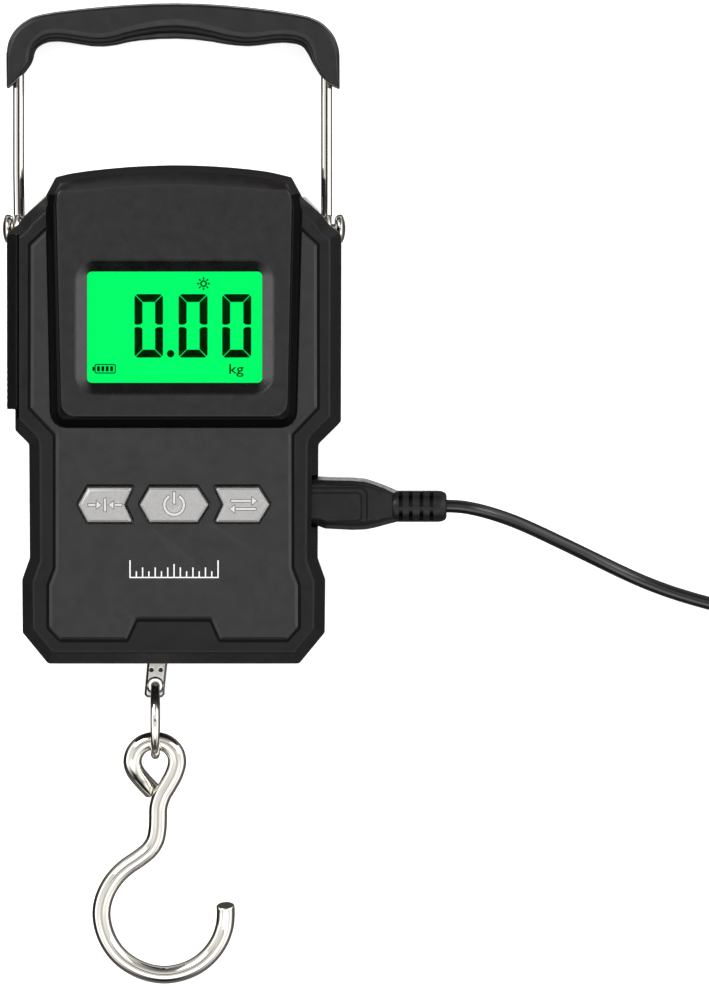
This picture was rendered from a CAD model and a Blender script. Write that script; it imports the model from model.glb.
# Digital fish scale: the visual model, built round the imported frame.
# All shape tables are in millimetres, in the frame of the CAD model, and are
# scaled to metres when a mesh is made.
import math

import bmesh
import bpy
from mathutils import Matrix, Vector


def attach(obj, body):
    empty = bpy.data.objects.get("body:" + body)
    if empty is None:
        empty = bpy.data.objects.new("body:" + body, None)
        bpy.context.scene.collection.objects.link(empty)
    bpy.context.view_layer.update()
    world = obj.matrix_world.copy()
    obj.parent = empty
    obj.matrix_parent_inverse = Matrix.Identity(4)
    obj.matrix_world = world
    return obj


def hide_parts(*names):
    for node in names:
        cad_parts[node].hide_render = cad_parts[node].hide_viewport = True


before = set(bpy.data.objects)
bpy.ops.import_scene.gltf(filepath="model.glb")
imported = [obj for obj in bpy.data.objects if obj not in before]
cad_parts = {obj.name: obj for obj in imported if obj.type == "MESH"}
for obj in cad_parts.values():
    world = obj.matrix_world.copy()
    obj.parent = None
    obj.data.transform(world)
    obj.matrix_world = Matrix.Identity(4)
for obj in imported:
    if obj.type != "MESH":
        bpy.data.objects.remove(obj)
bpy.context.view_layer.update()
MM = 0.001
SCENE = bpy.context.scene
ROOT = SCENE.collection

# ------------------------------------------------------------------ camera
# Straight above the scale, from so far away that nothing converges.
SCALE_MM = 0.21  # millimetres for one pixel of the 709 x 987 picture
DISTANCE = 5.0
cam_data = bpy.data.cameras.new("camera")
cam = bpy.data.objects.new("camera", cam_data)
ROOT.objects.link(cam)
cam.location = ((354.5 - 173.8) * SCALE_MM * MM, 0.0, DISTANCE + 0.016)
cam_data.sensor_width = 36.0
cam_data.lens = 36.0 * DISTANCE / (987 * SCALE_MM * MM)
cam_data.clip_start = 0.05
cam_data.clip_end = 200.0
SCENE.camera = cam
SCENE.view_settings.view_transform = "Standard"

# ------------------------------------------------------------------ numbers
LOAD_Z, REAR_TOP, FRONT_BOTTOM = 8.6, 8.45, 8.75
FACE_Z, CHAMFER_Z, CHAMFER = 25.0, 19.5, 2.3
POCKET_Z, CEILING_Z, PANEL_Z, HOOD_Z = 24.0, 22.3, 25.5, 28.5
WALL, BACK = 2.0, 1.9
PIVOT_Y, WIRE_X, WIRE_R, WIRE_TOP = 55.75, 32.5, 1.1, 98.6
CELL_X, STRAP_PIN_Y = -2.8, -28.2
STRAP_EYE = (-3.95, -40.4)
RING_R, RING_WIRE = 7.28, 0.95
RING_Y = STRAP_EYE[1] - 7.25
HOOK_WIRE, HOOK_EYE_Y, HOOK_EYE_Z, HOOK_TILT = 1.93, -51.95, 8.0, math.radians(6.93)
DRUM = (1.0, 36.0)
DRUM_R = 15.0
TAPE_Z = (10.1, 15.1)
TAPE_Y = DRUM[1] + DRUM_R + 0.25
PCB_Z = (16.0, 17.2)
USB_Y, USB_Z = -1.9, 18.6
CORD_R = 1.4
COIL_X, COIL_Y, COIL_MID = 140.0, -50.2, 16.8

CASE = [
    (-26.35, -35.7), (26.35, -35.7), (31.7, -29.2), (31.8, -18.05), (30.2, -13.55),
    (30.35, 10.4), (35.1, 15.1), (35.2, 52.4), (35.0, 54.6), (32.5, 56.6),
    (31.2, 58.4), (27.05, 62.1), (26.15, 63.75), (24.75, 66.4), (20.2, 67.5),
    (16.0, 68.05), (11.8, 68.45), (7.6, 68.72), (3.4, 68.87), (-0.8, 68.9),
    (-5.0, 68.77), (-9.2, 68.55), (-13.4, 68.2), (-17.6, 67.75), (-21.8, 67.15),
    (-24.75, 66.4), (-26.15, 63.75), (-27.05, 62.1), (-31.2, 58.4), (-32.5, 56.6),
    (-35.0, 54.6), (-35.2, 52.4), (-35.1, 15.1), (-30.35, 10.4), (-30.2, -13.55),
    (-31.8, -18.05), (-31.7, -29.2),
]
CASE_R = [
    0.9, 0.9, 0.9, 2.0, 2.0, 1.2, 1.2, 1.2, 1.0, 1.5, 2.0, 1.2, 3.0, 0.7, 40,
    60, 60, 60, 60, 60, 60, 60, 60, 60, 40, 0.7, 3.0, 1.2, 2.0, 1.5, 1.0, 1.2,
    1.2, 1.2, 2.0, 2.0, 0.9,
]
PANEL = [
    (-26.3, -28.1), (-23.75, -30.85), (-9.7, -30.85), (-7.7, -26.56), (7.8, -26.56),
    (9.7, -30.85), (23.85, -30.85), (26.35, -28.1), (26.35, -19.15), (25.0, -15.55),
    (24.95, 12.3), (30.35, 17.9), (30.3, 52.15), (26.8, 55.4), (-26.8, 55.4),
    (-30.15, 52.15), (-30.2, 17.9), (-24.95, 12.3), (-24.95, -15.55), (-26.3, -19.15),
]
PANEL_R = [0.5] * 8 + [1.0, 1.0, 0.6, 0.6, 0.6, 0.6, 0.6, 0.6, 0.6, 0.6, 1.0, 1.0]
HOOD = [
    (-25.6, 14.0), (25.6, 14.0), (26.75, 60.2), (26.1, 63.6), (24.7, 66.3),
    (20.2, 67.42), (16.0, 67.97), (11.8, 68.37), (7.6, 68.64), (3.4, 68.8),
    (-0.8, 68.83), (-5.0, 68.7), (-9.2, 68.48), (-13.4, 68.12), (-17.6, 67.67),
    (-21.8, 67.05), (-24.7, 66.3), (-26.1, 63.6), (-26.55, 60.2),
]
HOOD_R = [3.4, 3.4, 8, 5, 1.3, 30, 60, 60, 60, 60, 60, 60, 60, 60, 60, 30, 1.3, 5, 8]
HOOD_FACE = [
    (-23.5, 16.1), (23.9, 16.1), (24.85, 60.4), (24.65, 62.6), (23.9, 63.75),
    (20.0, 64.15), (16.0, 64.52), (11.8, 64.85), (7.6, 65.1), (3.4, 65.25),
    (-0.8, 65.3), (-5.0, 65.22), (-9.2, 65.02), (-13.4, 64.72), (-17.6, 64.32),
    (-21.3, 63.95), (-23.9, 63.6), (-24.45, 62.6), (-24.55, 60.4),
]
HOOD_FACE_R = [3.0, 3.0, 8, 4, 0.8, 30, 60, 60, 60, 60, 60, 60, 60, 60, 60, 30, 0.8, 4, 8]
WINDOW = [(-18.1, 23.2), (18.6, 23.2), (18.6, 46.5), (-18.1, 46.5)]
ZERO_BUTTON = [(-19.87, -2.35), (-17.93, -5.95), (-8.67, -5.95), (-10.35, -2.35), (-8.67, 1.18), (-17.93, 1.18)]
POWER_BUTTON = [(-6.99, -2.35), (-4.91, -5.95), (4.96, -5.95), (7.29, -2.35), (4.96, 1.18), (-4.91, 1.18)]
UNIT_BUTTON = [(8.82, -5.95), (17.83, -5.95), (20.05, -2.35), (17.83, 1.18), (8.82, 1.18), (10.52, -2.35)]
GRIP = [
    (-35.2, 85.05), (-33.7, 86.14), (-32.3, 87.61), (-31.25, 88.77), (-30.09, 90.34),
    (-29.61, 91.56), (-29.4, 92.72), (-28.94, 93.66), (-27.78, 94.54), (-26.42, 95.02),
    (-24.32, 95.15), (-22.22, 94.92), (-19.7, 94.5), (-17.18, 94.12), (-14.66, 94.06),
    (-12.14, 94.39), (-9.62, 95.0), (-7.1, 95.36), (-3.3, 95.66), (0.46, 95.74),
    (4.2, 95.56), (8.02, 95.07), (10.54, 94.6), (13.06, 94.29), (15.58, 94.12),
    (18.1, 94.35), (20.62, 94.73), (23.14, 94.9), (25.66, 94.65), (27.13, 94.08),
    (28.18, 92.5), (29.23, 90.41), (30.7, 87.99), (32.38, 86.14), (34.85, 85.0),
    (34.8, 93.28), (33.8, 96.08), (32.38, 97.88), (30.7, 99.33),
    (28.18, 100.34), (25.66, 100.84), (20.62, 101.64), (15.58, 102.23), (10.54, 102.69),
    (5.5, 103.0), (0.46, 103.09), (-4.58, 103.03), (-9.62, 102.77), (-14.66, 102.4),
    (-19.7, 101.89), (-24.74, 101.3), (-27.26, 100.86), (-29.78, 100.27), (-32.13, 98.8),
    (-33.87, 97.02), (-34.9, 94.92), (-35.28, 92.3),
]
HOOK_LINE = [
    (-0.6, -11.1, -3.45), (-2.9, -8.48, -2.1), (-4.42, -6.2, -0.75), (-4.8, -4.35, -0.1), (-4.25, -2.35),
    (-2.6, -0.65), (0, 0), (2.48, -0.7), (4.14, -2.45), (4.58, -4.55), (4.0, -6.9),
    (2.78, -9.25), (1.4, -11.6), (0.65, -13.95), (0.55, -16.5), (0.45, -18.65),
    (-0.02, -21.0), (-1.2, -22.95), (-3.4, -24.8), (-5.9, -26.6), (-8.0, -28.6),
    (-9.68, -31.05), (-10.78, -33.8), (-11.16, -36.7), (-10.6, -40.05), (-9.2, -43.2),
    (-7.05, -45.85), (-4.25, -47.85), (-1.08, -49.05), (2.32, -49.4), (5.68, -48.8),
    (8.8, -47.4), (11.42, -45.2), (13.4, -42.4), (14.55, -39.2), (14.8, -36.2, 0.6),
    (14.72, -34.6, 1.05),
]
PLUG = [
    (24.5, -6.75), (30.4, -6.85), (31.8, -7.36), (37.5, -7.66), (40.3, -7.56), (42.5, -7.12),
    (44.7, -6.51), (47.1, -5.9), (47.1, 0.6), (44.7, 1.62), (42.5, 2.46), (40.3, 3.17),
    (37.5, 3.4), (34.8, 3.42), (30.4, 3.61), (24.5, 3.6),
]
CORD_LINE = [
    (56.0, -2.61, 18.6), (57.6, -2.62, 18.6), (60.4, -2.78, 18.5), (63.9, -3.42, 17.95), (68.1, -4.62, 16.4),
    (72.3, -6.15, 14.1), (76.5, -8.0, 11.4), (80.7, -9.98, 8.7), (84.9, -12.0, 6.2),
    (89.1, -14.03, 4.2), (93.3, -16.06, 2.75), (97.5, -17.98, 1.85), (101.7, -19.68, 1.5),
    (105.9, -21.15, 1.45), (112.2, -22.99, 1.45), (119.0, -24.7, 1.45), (127.0, -26.7, 1.45),
    (133.9, -28.42, 1.45),
]

# ------------------------------------------------------------------ outlines


def unit(x, y):
    length = math.hypot(x, y) or 1.0
    return x / length, y / length


def turn_at(points, i):
    a, p, b = points[i - 1], points[i], points[(i + 1) % len(points)]
    u = unit(p[0] - a[0], p[1] - a[1])
    v = unit(b[0] - p[0], b[1] - p[1])
    return math.atan2(u[0] * v[1] - u[1] * v[0], u[0] * v[0] + u[1] * v[1])


def grow(points, d):
    """A polygon moved outwards by d, one number or one for each corner."""
    n = len(points)
    area = sum(points[i][0] * points[(i + 1) % n][1] - points[(i + 1) % n][0] * points[i][1] for i in range(n))
    side = 1 if area > 0 else -1
    out = []
    for i, p in enumerate(points):
        a, b = points[i - 1], points[(i + 1) % n]
        u = unit(p[0] - a[0], p[1] - a[1])
        v = unit(b[0] - p[0], b[1] - p[1])
        k = (d[i] if isinstance(d, (list, tuple)) else d) / max(0.3, 1 + u[0] * v[0] + u[1] * v[1])
        out.append((p[0] + (u[1] + v[1]) * side * k, p[1] - (u[0] + v[0]) * side * k))
    return out


def soften(points, radii, seg=4, closed=True):
    """Corners replaced by arcs. A closed outline gets seg + 1 points for every
    corner, so that rings cut from one outline always match."""
    n = len(points)
    out = []
    for i, p in enumerate(points):
        r = radii[i] if isinstance(radii, (list, tuple)) else radii
        if not closed and (i in (0, n - 1) or r <= 0):
            out.append(p)
            continue
        a, b = points[i - 1], points[(i + 1) % n]
        u = unit(p[0] - a[0], p[1] - a[1])
        v = unit(b[0] - p[0], b[1] - p[1])
        la = math.hypot(p[0] - a[0], p[1] - a[1])
        lb = math.hypot(b[0] - p[0], b[1] - p[1])
        turn = math.atan2(u[0] * v[1] - u[1] * v[0], u[0] * v[0] + u[1] * v[1])
        half = abs(turn) / 2
        t = max(min(r * math.tan(half), 0.46 * la, 0.46 * lb), 0.004)
        start = (p[0] - u[0] * t, p[1] - u[1] * t)
        if half < 1e-3:
            for k in range(seg + 1):
                f = -t + 2 * t * k / seg
                out.append((p[0] + u[0] * f, p[1] + u[1] * f))
            continue
        sign = 1 if turn > 0 else -1
        reff = t / math.tan(half)
        cx, cy = start[0] - u[1] * sign * reff, start[1] + u[0] * sign * reff
        dx, dy = start[0] - cx, start[1] - cy
        for k in range(seg + 1):
            w = sign * 2 * half * k / seg
            out.append((cx + dx * math.cos(w) - dy * math.sin(w), cy + dx * math.sin(w) + dy * math.cos(w)))
    return out


def ring(points, radii, inset, z, seg):
    """One level of a loft: the outline pulled in by inset, with its corner radii."""
    n = len(points)
    rr = radii if isinstance(radii, (list, tuple)) else [radii] * n
    mean = sum(inset) / n if isinstance(inset, (list, tuple)) else inset
    fitted = []
    for i in range(n):
        t = turn_at(points, i)
        fitted.append(max(rr[i] - mean, 0.12) if t > 0 else rr[i] + max(mean, 0.0))
    d = [-v for v in inset] if isinstance(inset, (list, tuple)) else -inset
    return [(x, y, z) for x, y in soften(grow(points, d), fitted, seg)]


def profile(points, radii, seg=3):
    """A side profile of (inset, z) pairs with soft corners."""
    return soften(points, radii, seg, closed=False)


def circle(cx, cy, r, sides, start=0.0):
    return [(cx + r * math.cos(start + 2 * math.pi * i / sides), cy + r * math.sin(start + 2 * math.pi * i / sides)) for i in range(sides)]


def arc(cx, cy, r, from_deg, to_deg, steps):
    out = []
    for i in range(steps + 1):
        a = math.radians(from_deg + (to_deg - from_deg) * i / steps)
        out.append((cx + r * math.cos(a), cy + r * math.sin(a)))
    return out


def rectangle(x0, x1, y0, y1):
    return [(x0, y0), (x1, y0), (x1, y1), (x0, y1)]


# ------------------------------------------------------------------ meshes


def new_object(name, verts, faces):
    mesh = bpy.data.meshes.new(name)
    mesh.from_pydata([(x * MM, y * MM, z * MM) for x, y, z in verts], [], faces)
    mesh.update()
    o = bpy.data.objects.new(name, mesh)
    ROOT.objects.link(o)
    bm = bmesh.new()
    bm.from_mesh(mesh)
    bmesh.ops.recalc_face_normals(bm, faces=bm.faces)
    if bm.calc_volume(signed=True) < 0:
        bmesh.ops.reverse_faces(bm, faces=bm.faces)
    bm.to_mesh(mesh)
    bm.free()
    return o


def loft(name, rings, closed=False):
    """Quads between rings of equal length, capped at both ends unless closed."""
    n = len(rings[0])
    verts = [p for r in rings for p in r]
    faces = []
    spans = len(rings) if closed else len(rings) - 1
    for j in range(spans):
        a, b = j * n, ((j + 1) % len(rings)) * n
        for i in range(n):
            k = (i + 1) % n
            faces.append((a + i, a + k, b + k, b + i))
    if not closed:
        faces.append(tuple(reversed(range(n))))
        faces.append(tuple(range((len(rings) - 1) * n, len(rings) * n)))
    return new_object(name, verts, faces)


def slab(name, points, radii, side, seg=4):
    """A loft of one outline through a side profile of (inset, z), bottom to top."""
    return loft(name, [ring(points, radii, i, z, seg) for i, z in side])


def prism(points, z0, z1, name="tool"):
    return loft(name, [[(x, y, z0) for x, y in points], [(x, y, z1) for x, y in points]])


def block(x0, x1, y0, y1, z0, z1, name="tool"):
    return prism(rectangle(x0, x1, y0, y1), z0, z1, name)


def soft_block(x0, x1, y0, y1, z0, z1, r=0.5, e=0.3, name="tool", seg=4):
    """A block with rounded upright corners and rounded rims."""
    s = profile([(e + 0.4, z0), (0, z0), (0, z1), (e + 0.4, z1)], [0, e, e, 0], 3)
    return slab(name, rectangle(x0, x1, y0, y1), r, s, seg)


def lathe(name, side, sides=32, place=None):
    """A turned piece: (radius, height) from axis to axis, turned about Z."""
    verts, faces, rows = [], [], []
    for r, h in side:
        if r < 1e-6:
            rows.append([len(verts)])
            verts.append((0, 0, h))
        else:
            rows.append(list(range(len(verts), len(verts) + sides)))
            verts += [(x, y, h) for x, y in circle(0, 0, r, sides)]
    for a, b in zip(rows, rows[1:]):
        for i in range(sides):
            k = (i + 1) % sides
            if len(a) == 1 and len(b) == 1:
                continue
            if len(a) == 1:
                faces.append((a[0], b[k], b[i]))
            elif len(b) == 1:
                faces.append((a[i], a[k], b[0]))
            else:
                faces.append((a[i], a[k], b[k], b[i]))
    if place is not None:
        verts = [tuple(place @ Vector(v)) for v in verts]
    return new_object(name, verts, faces)


def lathe_ring(name, side, sides=48, place=None):
    """A turned piece with a closed section that doesn't touch the axis."""
    rings = []
    for i in range(sides):
        a = 2 * math.pi * i / sides
        rings.append([(r * math.cos(a), r * math.sin(a), h) for r, h in side])
    if place is not None:
        rings = [[tuple(place @ Vector(v)) for v in r] for r in rings]
    return loft(name, rings, closed=True)


def along_x(x, y, z):
    """A turned piece's axis laid along +X, its height 0 at (x, y, z)."""
    return Matrix.Translation((x, y, z)) @ Matrix.Rotation(math.pi / 2, 4, "Y")


def along_y(x, y, z):
    return Matrix.Translation((x, y, z)) @ Matrix.Rotation(-math.pi / 2, 4, "X")


def at(x, y, z):
    return Matrix.Translation((x, y, z))


def rod(r, h0, h1, place, sides=24, name="tool"):
    return lathe(name, [(0, h0), (r, h0), (r, h1), (0, h1)], sides, place)


def smooth_line(points, per=6):
    """A centripetal Catmull-Rom curve through the points."""
    p = [Vector(q if len(q) == 3 else (q[0], q[1], 0)) for q in points]
    p = [p[0] * 2 - p[1], *p, p[-1] * 2 - p[-2]]
    out = []
    for i in range(1, len(p) - 2):
        t = [0.0]
        for a, b in zip(p[i - 1 : i + 3], p[i : i + 3]):
            t.append(t[-1] + max((b - a).length ** 0.5, 1e-4))
        t0, t1, t2, t3 = t[:4]
        q0, q1, q2, q3 = p[i - 1 : i + 3]
        for k in range(per):
            u = t1 + (t2 - t1) * k / per
            a1 = q0 * ((t1 - u) / (t1 - t0)) + q1 * ((u - t0) / (t1 - t0))
            a2 = q1 * ((t2 - u) / (t2 - t1)) + q2 * ((u - t1) / (t2 - t1))
            a3 = q2 * ((t3 - u) / (t3 - t2)) + q3 * ((u - t2) / (t3 - t2))
            b1 = a1 * ((t2 - u) / (t2 - t0)) + a2 * ((u - t0) / (t2 - t0))
            b2 = a2 * ((t3 - u) / (t3 - t1)) + a3 * ((u - t1) / (t3 - t1))
            out.append(b1 * ((t2 - u) / (t2 - t1)) + b2 * ((u - t1) / (t2 - t1)))
    out.append(p[-2].copy())
    return out


def tube(name, line, radius, sides=20, ends=0.0, place=None):
    """A round wire along a line. ends rounds off its two cut faces."""
    line = [Vector(p) for p in line]
    tangents = []
    for i in range(len(line)):
        a, b = line[max(i - 1, 0)], line[min(i + 1, len(line) - 1)]
        tangents.append((b - a).normalized())
    normal = tangents[0].orthogonal().normalized()
    if abs(tangents[0].z) < 0.9:
        normal = (Vector((0, 0, 1)) - tangents[0] * tangents[0].z).normalized()
    sections = []
    for i, (p, t) in enumerate(zip(line, tangents)):
        if i:
            turn = tangents[i - 1].rotation_difference(t)
            normal = (turn @ normal).normalized()
            normal = (normal - t * normal.dot(t)).normalized()
        sections.append((p, t, normal.copy()))
    steps = []
    if ends > 0:
        p, t, nrm = sections[0]
        middle = [s for s in sections[1:-1] if (s[0] - p).length > ends * 1.05 and (s[0] - sections[-1][0]).length > ends * 1.05]
        steps = [(p + t * ends * (1 - math.cos(math.radians(w))), t, nrm, radius - ends * (1 - math.sin(math.radians(w)))) for w in (0, 30, 60, 90)]
        steps += [(s[0], s[1], s[2], radius) for s in middle]
        p, t, nrm = sections[-1]
        steps += [(p - t * ends * (1 - math.cos(math.radians(w))), t, nrm, radius - ends * (1 - math.sin(math.radians(w)))) for w in (90, 60, 30, 0)]
    else:
        steps = [(s[0], s[1], s[2], radius) for s in sections]
    rings = []
    for p, t, nrm, r in steps:
        other = t.cross(nrm)
        rings.append([tuple(p + (nrm * math.cos(a) + other * math.sin(a)) * r) for a in (2 * math.pi * k / sides for k in range(sides))])
    if place is not None:
        rings = [[tuple(place @ Vector(v)) for v in r] for r in rings]
    return loft(name, rings)


def stroke(points, width, z0, z1, longer=0.0):
    """A raised line of even width along an open path."""
    line = [Vector((x, y)) for x, y in points]
    line[0] = line[0] + (line[0] - line[1]).normalized() * longer
    line[-1] = line[-1] + (line[-1] - line[-2]).normalized() * longer
    left, right = [], []
    for i, p in enumerate(line):
        d1 = (p - line[i - 1]).normalized() if i else (line[1] - p).normalized()
        d2 = (line[i + 1] - p).normalized() if i < len(line) - 1 else d1
        m = Vector((-(d1.y + d2.y), d1.x + d2.x))
        k = width / 2 / max(0.35, 1 + d1.dot(d2))
        left.append(p + m * k)
        right.append(p - m * k)
    return prism([tuple(v) for v in right] + [tuple(v) for v in reversed(left)], z0, z1)


SOLVERS = [i.identifier for i in bpy.types.BooleanModifier.bl_rna.properties["solver"].enum_items]
SOLVER = "MANIFOLD" if "MANIFOLD" in SOLVERS else "EXACT"


def combine(a, tools, kind):
    for b in tools:
        m = a.modifiers.new("b", "BOOLEAN")
        m.operation = kind
        m.object = b
        m.solver = SOLVER
        dg = bpy.context.evaluated_depsgraph_get()
        made = bpy.data.meshes.new_from_object(a.evaluated_get(dg))
        a.modifiers.clear()
        old = a.data
        a.data = made
        bpy.data.meshes.remove(old)
        spent = b.data
        bpy.data.objects.remove(b)
        bpy.data.meshes.remove(spent)
    return a


def cut(a, *tools):
    return combine(a, tools, "DIFFERENCE")


def join(a, *tools):
    return combine(a, tools, "UNION")


def keep(a, *tools):
    return combine(a, tools, "INTERSECT")


def merge(name, parts):
    """Several closed bodies as one object."""
    bm = bmesh.new()
    for o in parts:
        bm.from_mesh(o.data)
    mesh = bpy.data.meshes.new(name)
    bm.to_mesh(mesh)
    bm.free()
    for o in parts:
        spent = o.data
        bpy.data.objects.remove(o)
        bpy.data.meshes.remove(spent)
    o = bpy.data.objects.new(name, mesh)
    ROOT.objects.link(o)
    return o


def finish_shape(o, angle=32.0):
    """Clean points, smooth faces with sharp edges kept, even shading on flats."""
    bm = bmesh.new()
    bm.from_mesh(o.data)
    bmesh.ops.remove_doubles(bm, verts=bm.verts, dist=2e-6)
    bmesh.ops.dissolve_degenerate(bm, dist=1e-6, edges=bm.edges)
    bm.to_mesh(o.data)
    bm.free()
    # broad flats keep their own normal, everything else is rounded off into them
    o.data.polygons.foreach_set("use_smooth", [f.area < 100 * MM * MM for f in o.data.polygons])
    o.data.set_sharp_from_angle(angle=math.radians(angle))
    w = o.modifiers.new("even", "WEIGHTED_NORMAL")
    w.keep_sharp = True
    w.weight = 80
    o.data.update()
    return o


def piece(o, name, body, material, nodes=(), angle=32.0, others=()):
    """Names, paints and seats a piece. others holds (material, test) pairs, where a
    test takes a face's middle in millimetres and picks the faces that it covers."""
    o.name = name
    o.data.name = name
    if o.type == "MESH":
        finish_shape(o, angle)
    o.data.materials.clear()
    o.data.materials.append(material)
    for k, (other, covers) in enumerate(others):
        o.data.materials.append(other)
        for f in o.data.polygons:
            if covers(f.center / MM):
                f.material_index = k + 1
    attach(o, body)
    if nodes:
        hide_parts(*nodes)
    return o


# ------------------------------------------------------------------ materials


def srgb(hexa):
    out = []
    for i in (0, 2, 4):
        c = int(hexa[i : i + 2], 16) / 255
        out.append(c / 12.92 if c <= 0.04045 else ((c + 0.055) / 1.055) ** 2.4)
    return (*out, 1.0)


class Mat:
    """A Principled material and short ways to wire noise into it."""

    def __init__(self, name):
        self.m = bpy.data.materials.new(name)
        self.m.use_nodes = True
        self.t = self.m.node_tree
        self.b = self.t.nodes["Principled BSDF"]
        self.coord = self.t.nodes.new("ShaderNodeTexCoord").outputs["Object"]

    def link(self, a, b):
        self.t.links.new(a, b)

    def set(self, **values):
        for k, v in values.items():
            self.b.inputs[k.replace("_", " ")].default_value = v
        return self

    def mapped(self, scale):
        if scale is None:
            return self.coord
        m = self.t.nodes.new("ShaderNodeMapping")
        m.inputs["Scale"].default_value = scale
        self.link(self.coord, m.inputs["Vector"])
        return m.outputs["Vector"]

    def noise(self, scale, detail=3.0, rough=0.55, stretch=None, distortion=0.0):
        n = self.t.nodes.new("ShaderNodeTexNoise")
        n.inputs["Scale"].default_value = scale
        n.inputs["Detail"].default_value = detail
        n.inputs["Roughness"].default_value = rough
        n.inputs["Distortion"].default_value = distortion
        self.link(self.mapped(stretch), n.inputs["Vector"])
        return n.outputs["Fac"]

    def cells(self, scale, feature="F1", stretch=None):
        n = self.t.nodes.new("ShaderNodeTexVoronoi")
        n.feature = feature
        n.inputs["Scale"].default_value = scale
        self.link(self.mapped(stretch), n.inputs["Vector"])
        return n.outputs["Distance"]

    def wave(self, scale, direction="X", distortion=0.0, detail=2.0, kind="BANDS", stretch=None):
        n = self.t.nodes.new("ShaderNodeTexWave")
        n.wave_type = kind
        if kind == "BANDS":
            n.bands_direction = direction
        n.inputs["Scale"].default_value = scale
        n.inputs["Distortion"].default_value = distortion
        n.inputs["Detail"].default_value = detail
        self.link(self.mapped(stretch), n.inputs["Vector"])
        return n.outputs["Fac"]

    def ramp(self, source, stops):
        n = self.t.nodes.new("ShaderNodeValToRGB")
        e = n.color_ramp.elements
        while len(e) > 1:
            e.remove(e[-1])
        e[0].position, e[0].color = stops[0]
        for pos, col in stops[1:]:
            x = e.new(pos)
            x.color = col
        self.link(source, n.inputs["Fac"])
        return n.outputs["Color"]

    def span(self, source, low, high, a=0.3, b=0.7):
        n = self.t.nodes.new("ShaderNodeMapRange")
        n.inputs["From Min"].default_value = a
        n.inputs["From Max"].default_value = b
        n.inputs["To Min"].default_value = low
        n.inputs["To Max"].default_value = high
        self.link(source, n.inputs["Value"])
        return n.outputs["Result"]

    def blend(self, fac, a, b):
        n = self.t.nodes.new("ShaderNodeMix")
        n.data_type = "RGBA"
        self.link(fac, n.inputs["Factor"])
        for value, sock in ((a, n.inputs[6]), (b, n.inputs[7])):
            if isinstance(value, tuple):
                sock.default_value = value
            else:
                self.link(value, sock)
        return n.outputs[2]

    def bump(self, source, strength, distance, after=None):
        n = self.t.nodes.new("ShaderNodeBump")
        n.inputs["Strength"].default_value = strength
        n.inputs["Distance"].default_value = distance
        self.link(source, n.inputs["Height"])
        if after is not None:
            self.link(after, n.inputs["Normal"])
        return n.outputs["Normal"]

    def edges(self, low=0.5, high=0.56):
        g = self.t.nodes.new("ShaderNodeNewGeometry")
        return self.span(g.outputs["Pointiness"], 0.0, 1.0, low, high)

    def out(self, color=None, rough=None, normal=None, metallic=None):
        for s, v in ((color, "Base Color"), (rough, "Roughness"), (normal, "Normal"), (metallic, "Metallic")):
            if s is not None:
                self.link(s, self.b.inputs[v])
        return self.m


def shade(c, k):
    return (c[0] * k, c[1] * k, c[2] * k, 1.0)


def moulded(name, colour, rough=(0.42, 0.55), grain=2600.0, strength=0.12, level=0.5, wear=1.6, coat=0.0):
    """Moulded plastic: spark-eroded grain, faint flow mottling, paler rubbed edges."""
    m = Mat(name)
    c = srgb(colour) if isinstance(colour, str) else colour
    m.set(Specular_IOR_Level=level, Coat_Weight=coat)
    mottle = m.ramp(m.noise(160.0, 4.0, 0.6), [(0.3, shade(c, 0.86)), (0.7, shade(c, 1.14))])
    worn = m.blend(m.edges(0.52, 0.60), mottle, shade(c, wear))
    fine = m.noise(grain, 4.0, 0.65)
    r = m.span(m.noise(420.0, 3.0), rough[0], rough[1])
    n = m.bump(fine, strength, 0.00006, m.bump(m.cells(grain * 0.6), strength * 0.6, 0.00004))
    return m.out(worn, r, n)


def metal(name, colour, rough=(0.08, 0.16), scratch=(1.0, 1.0, 1.0), strength=0.05, tint=0.9, grain=900.0):
    """Plated or bare metal: fine drawn marks, slight clouding."""
    m = Mat(name)
    c = srgb(colour)
    m.set(Metallic=1.0)
    cloud = m.ramp(m.noise(120.0, 4.0, 0.6), [(0.25, shade(c, tint)), (0.75, c)])
    marks = m.noise(grain, 5.0, 0.7, stretch=scratch)
    r = m.span(m.noise(260.0, 4.0, 0.6), rough[0], rough[1])
    n = m.bump(marks, strength, 0.00003)
    return m.out(cloud, r, n)


def rubber(name, colour, rough=(0.45, 0.62), level=0.45):
    m = Mat(name)
    c = srgb(colour)
    m.set(Specular_IOR_Level=level)
    col = m.ramp(m.noise(300.0, 5.0, 0.65), [(0.3, shade(c, 0.75)), (0.75, shade(c, 1.3))])
    r = m.span(m.noise(700.0, 3.0), rough[0], rough[1])
    n = m.bump(m.noise(2400.0, 3.0, 0.6), 0.14, 0.00005)
    return m.out(col, r, n)


case_black = moulded("case_black", (0.0072, 0.0065, 0.0068), (0.36, 0.48), 2400.0, 0.10, 0.20, 1.5)
panel_grey = moulded("panel_grey", (0.0090, 0.0078, 0.0084), (0.38, 0.5), 3000.0, 0.14, 0.45, 1.5)
hood_grey = moulded("hood_grey", (0.0060, 0.0048, 0.0052), (0.32, 0.42), 3200.0, 0.10, 0.41, 1.5)
hood_rim = moulded("hood_rim", (0.0060, 0.0048, 0.0052), (0.3, 0.38), 3200.0, 0.10, 0.31, 1.3)
hood_edge = moulded("hood_edge", (0.0016, 0.0015, 0.0015), (0.26, 0.32), 3200.0, 0.05, 0.08, 1.2)
bezel_black = moulded("bezel_black", (0.0010, 0.0010, 0.0010), (0.24, 0.3), 3200.0, 0.04, 0.58, 1.1)
tab_black = moulded("tab_black", (0.0034, 0.0031, 0.0029), (0.4, 0.55), 2200.0, 0.12, 0.12, 1.5)
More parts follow.
